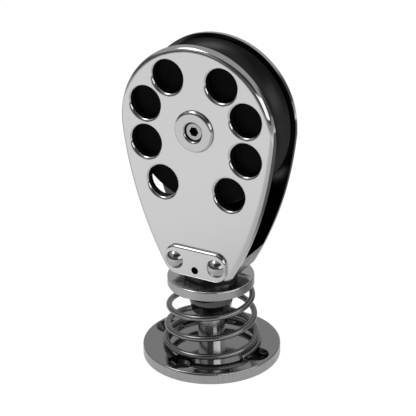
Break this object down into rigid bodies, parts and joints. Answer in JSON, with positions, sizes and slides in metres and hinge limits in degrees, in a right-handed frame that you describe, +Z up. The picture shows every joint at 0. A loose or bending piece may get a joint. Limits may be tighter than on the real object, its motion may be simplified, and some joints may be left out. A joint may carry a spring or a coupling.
{
  "type": "stand-up block",
  "caption": "Spring-loaded stand-up block: a grooved sheave between polished perforated cheeks, on a ball joint and a round deck plate with countersunk screw holes.",
  "frame": {"origin": "centre of the deck plate's underside", "axes": "+Z up out of the deck along the post, +Y along the sheave's axis from the front cheek to the rear cheek, +X to the right"},
  "size_m": [0.095, 0.08, 0.1902],
  "materials": {
    "mirror_steel": "mirror polished stainless steel",
    "turned_steel": "fine turned stainless steel",
    "spring_steel": "drawn stainless spring wire",
    "fastener_steel": "machined stainless steel",
    "black_sheave": "turned black acetal, satin",
    "bearing_plastic": "moulded bearing plastic"
  },
  "bodies": {
    "deck": {"base_plate": "mirror_steel", "post": "mirror_steel", "post_screw": "fastener_steel", "pivot_ball": "fastener_steel"},
    "coil": {"spring": "spring_steel"},
    "cup": {"spring_cup": "turned_steel"},
    "head": {"ball_socket": "mirror_steel", "ball_seat": "bearing_plastic", "socket_ring": "fastener_steel", "swivel_washer": "bearing_plastic", "lug": "turned_steel", "cross_pin": "fastener_steel", "front_cheek": "mirror_steel", "rear_cheek": "mirror_steel", "front_strap": "mirror_steel", "rear_strap": "mirror_steel", "left_rivet": "mirror_steel", "right_rivet": "mirror_steel", "axle": "fastener_steel", "front_thrust_washer": "bearing_plastic", "rear_thrust_washer": "bearing_plastic", "front_hub_cap": "mirror_steel", "rear_hub_cap": "mirror_steel", "front_axle_screw": "fastener_steel", "rear_axle_screw": "fastener_steel"},
    "wheel": {"sheave": "black_sheave", "bearing_bush": "bearing_plastic"}
  },
  "joints": [
    {"name": "lean_front_back", "type": "hinge", "parent": "deck", "child": "coil", "pos_m": [0, 0, 0.038], "axis": [1, 0, 0], "range_deg": [-10, 10], "stiffness_Nm_per_rad": 16, "deforming": ["spring"]},
    {"name": "lean_left_right", "type": "hinge", "parent": "coil", "child": "cup", "pos_m": [0, 0, 0.038], "axis": [0, 1, 0], "range_deg": [-10, 10], "stiffness_Nm_per_rad": 16},
    {"name": "swivel", "type": "hinge", "parent": "cup", "child": "head", "pos_m": [0, 0, 0.05], "axis": [0, 0, 1], "continuous": true},
    {"name": "sheave_spin", "type": "hinge", "parent": "head", "child": "wheel", "pos_m": [0, 0, 0.14275], "axis": [0, 1, 0], "continuous": true}
  ]
}
